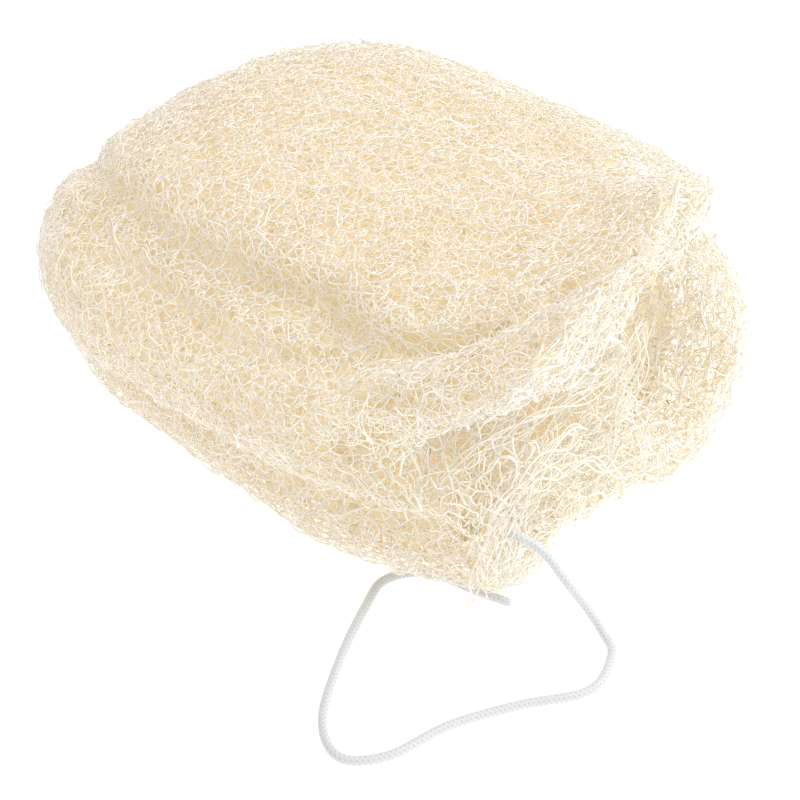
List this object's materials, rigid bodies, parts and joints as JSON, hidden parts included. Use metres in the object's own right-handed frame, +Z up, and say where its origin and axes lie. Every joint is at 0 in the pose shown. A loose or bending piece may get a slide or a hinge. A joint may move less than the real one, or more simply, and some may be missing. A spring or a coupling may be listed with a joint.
{
  "type": "natural loofah sponge",
  "caption": "Natural loofah sponge: a flattened, lobed piece of dried gourd fibre net, cut open at one end, with a white hanging cord for washing and scrubbing.",
  "frame": {"origin": "middle of the sponge's footprint, on the surface it lies on", "axes": "+Z up, +X from the rounded end towards the cut end, Y across the sponge's width"},
  "size_m": [0.173, 0.1539, 0.0815],
  "materials": {
    "loofah_fibre": "dry, pale cream plant fibre net, matt",
    "white_braid": "white braided nylon, soft sheen"
  },
  "bodies": {
    "root": {"loofah_sponge": "loofah_fibre", "hanging_cord": "white_braid"}
  },
  "joints": []
}
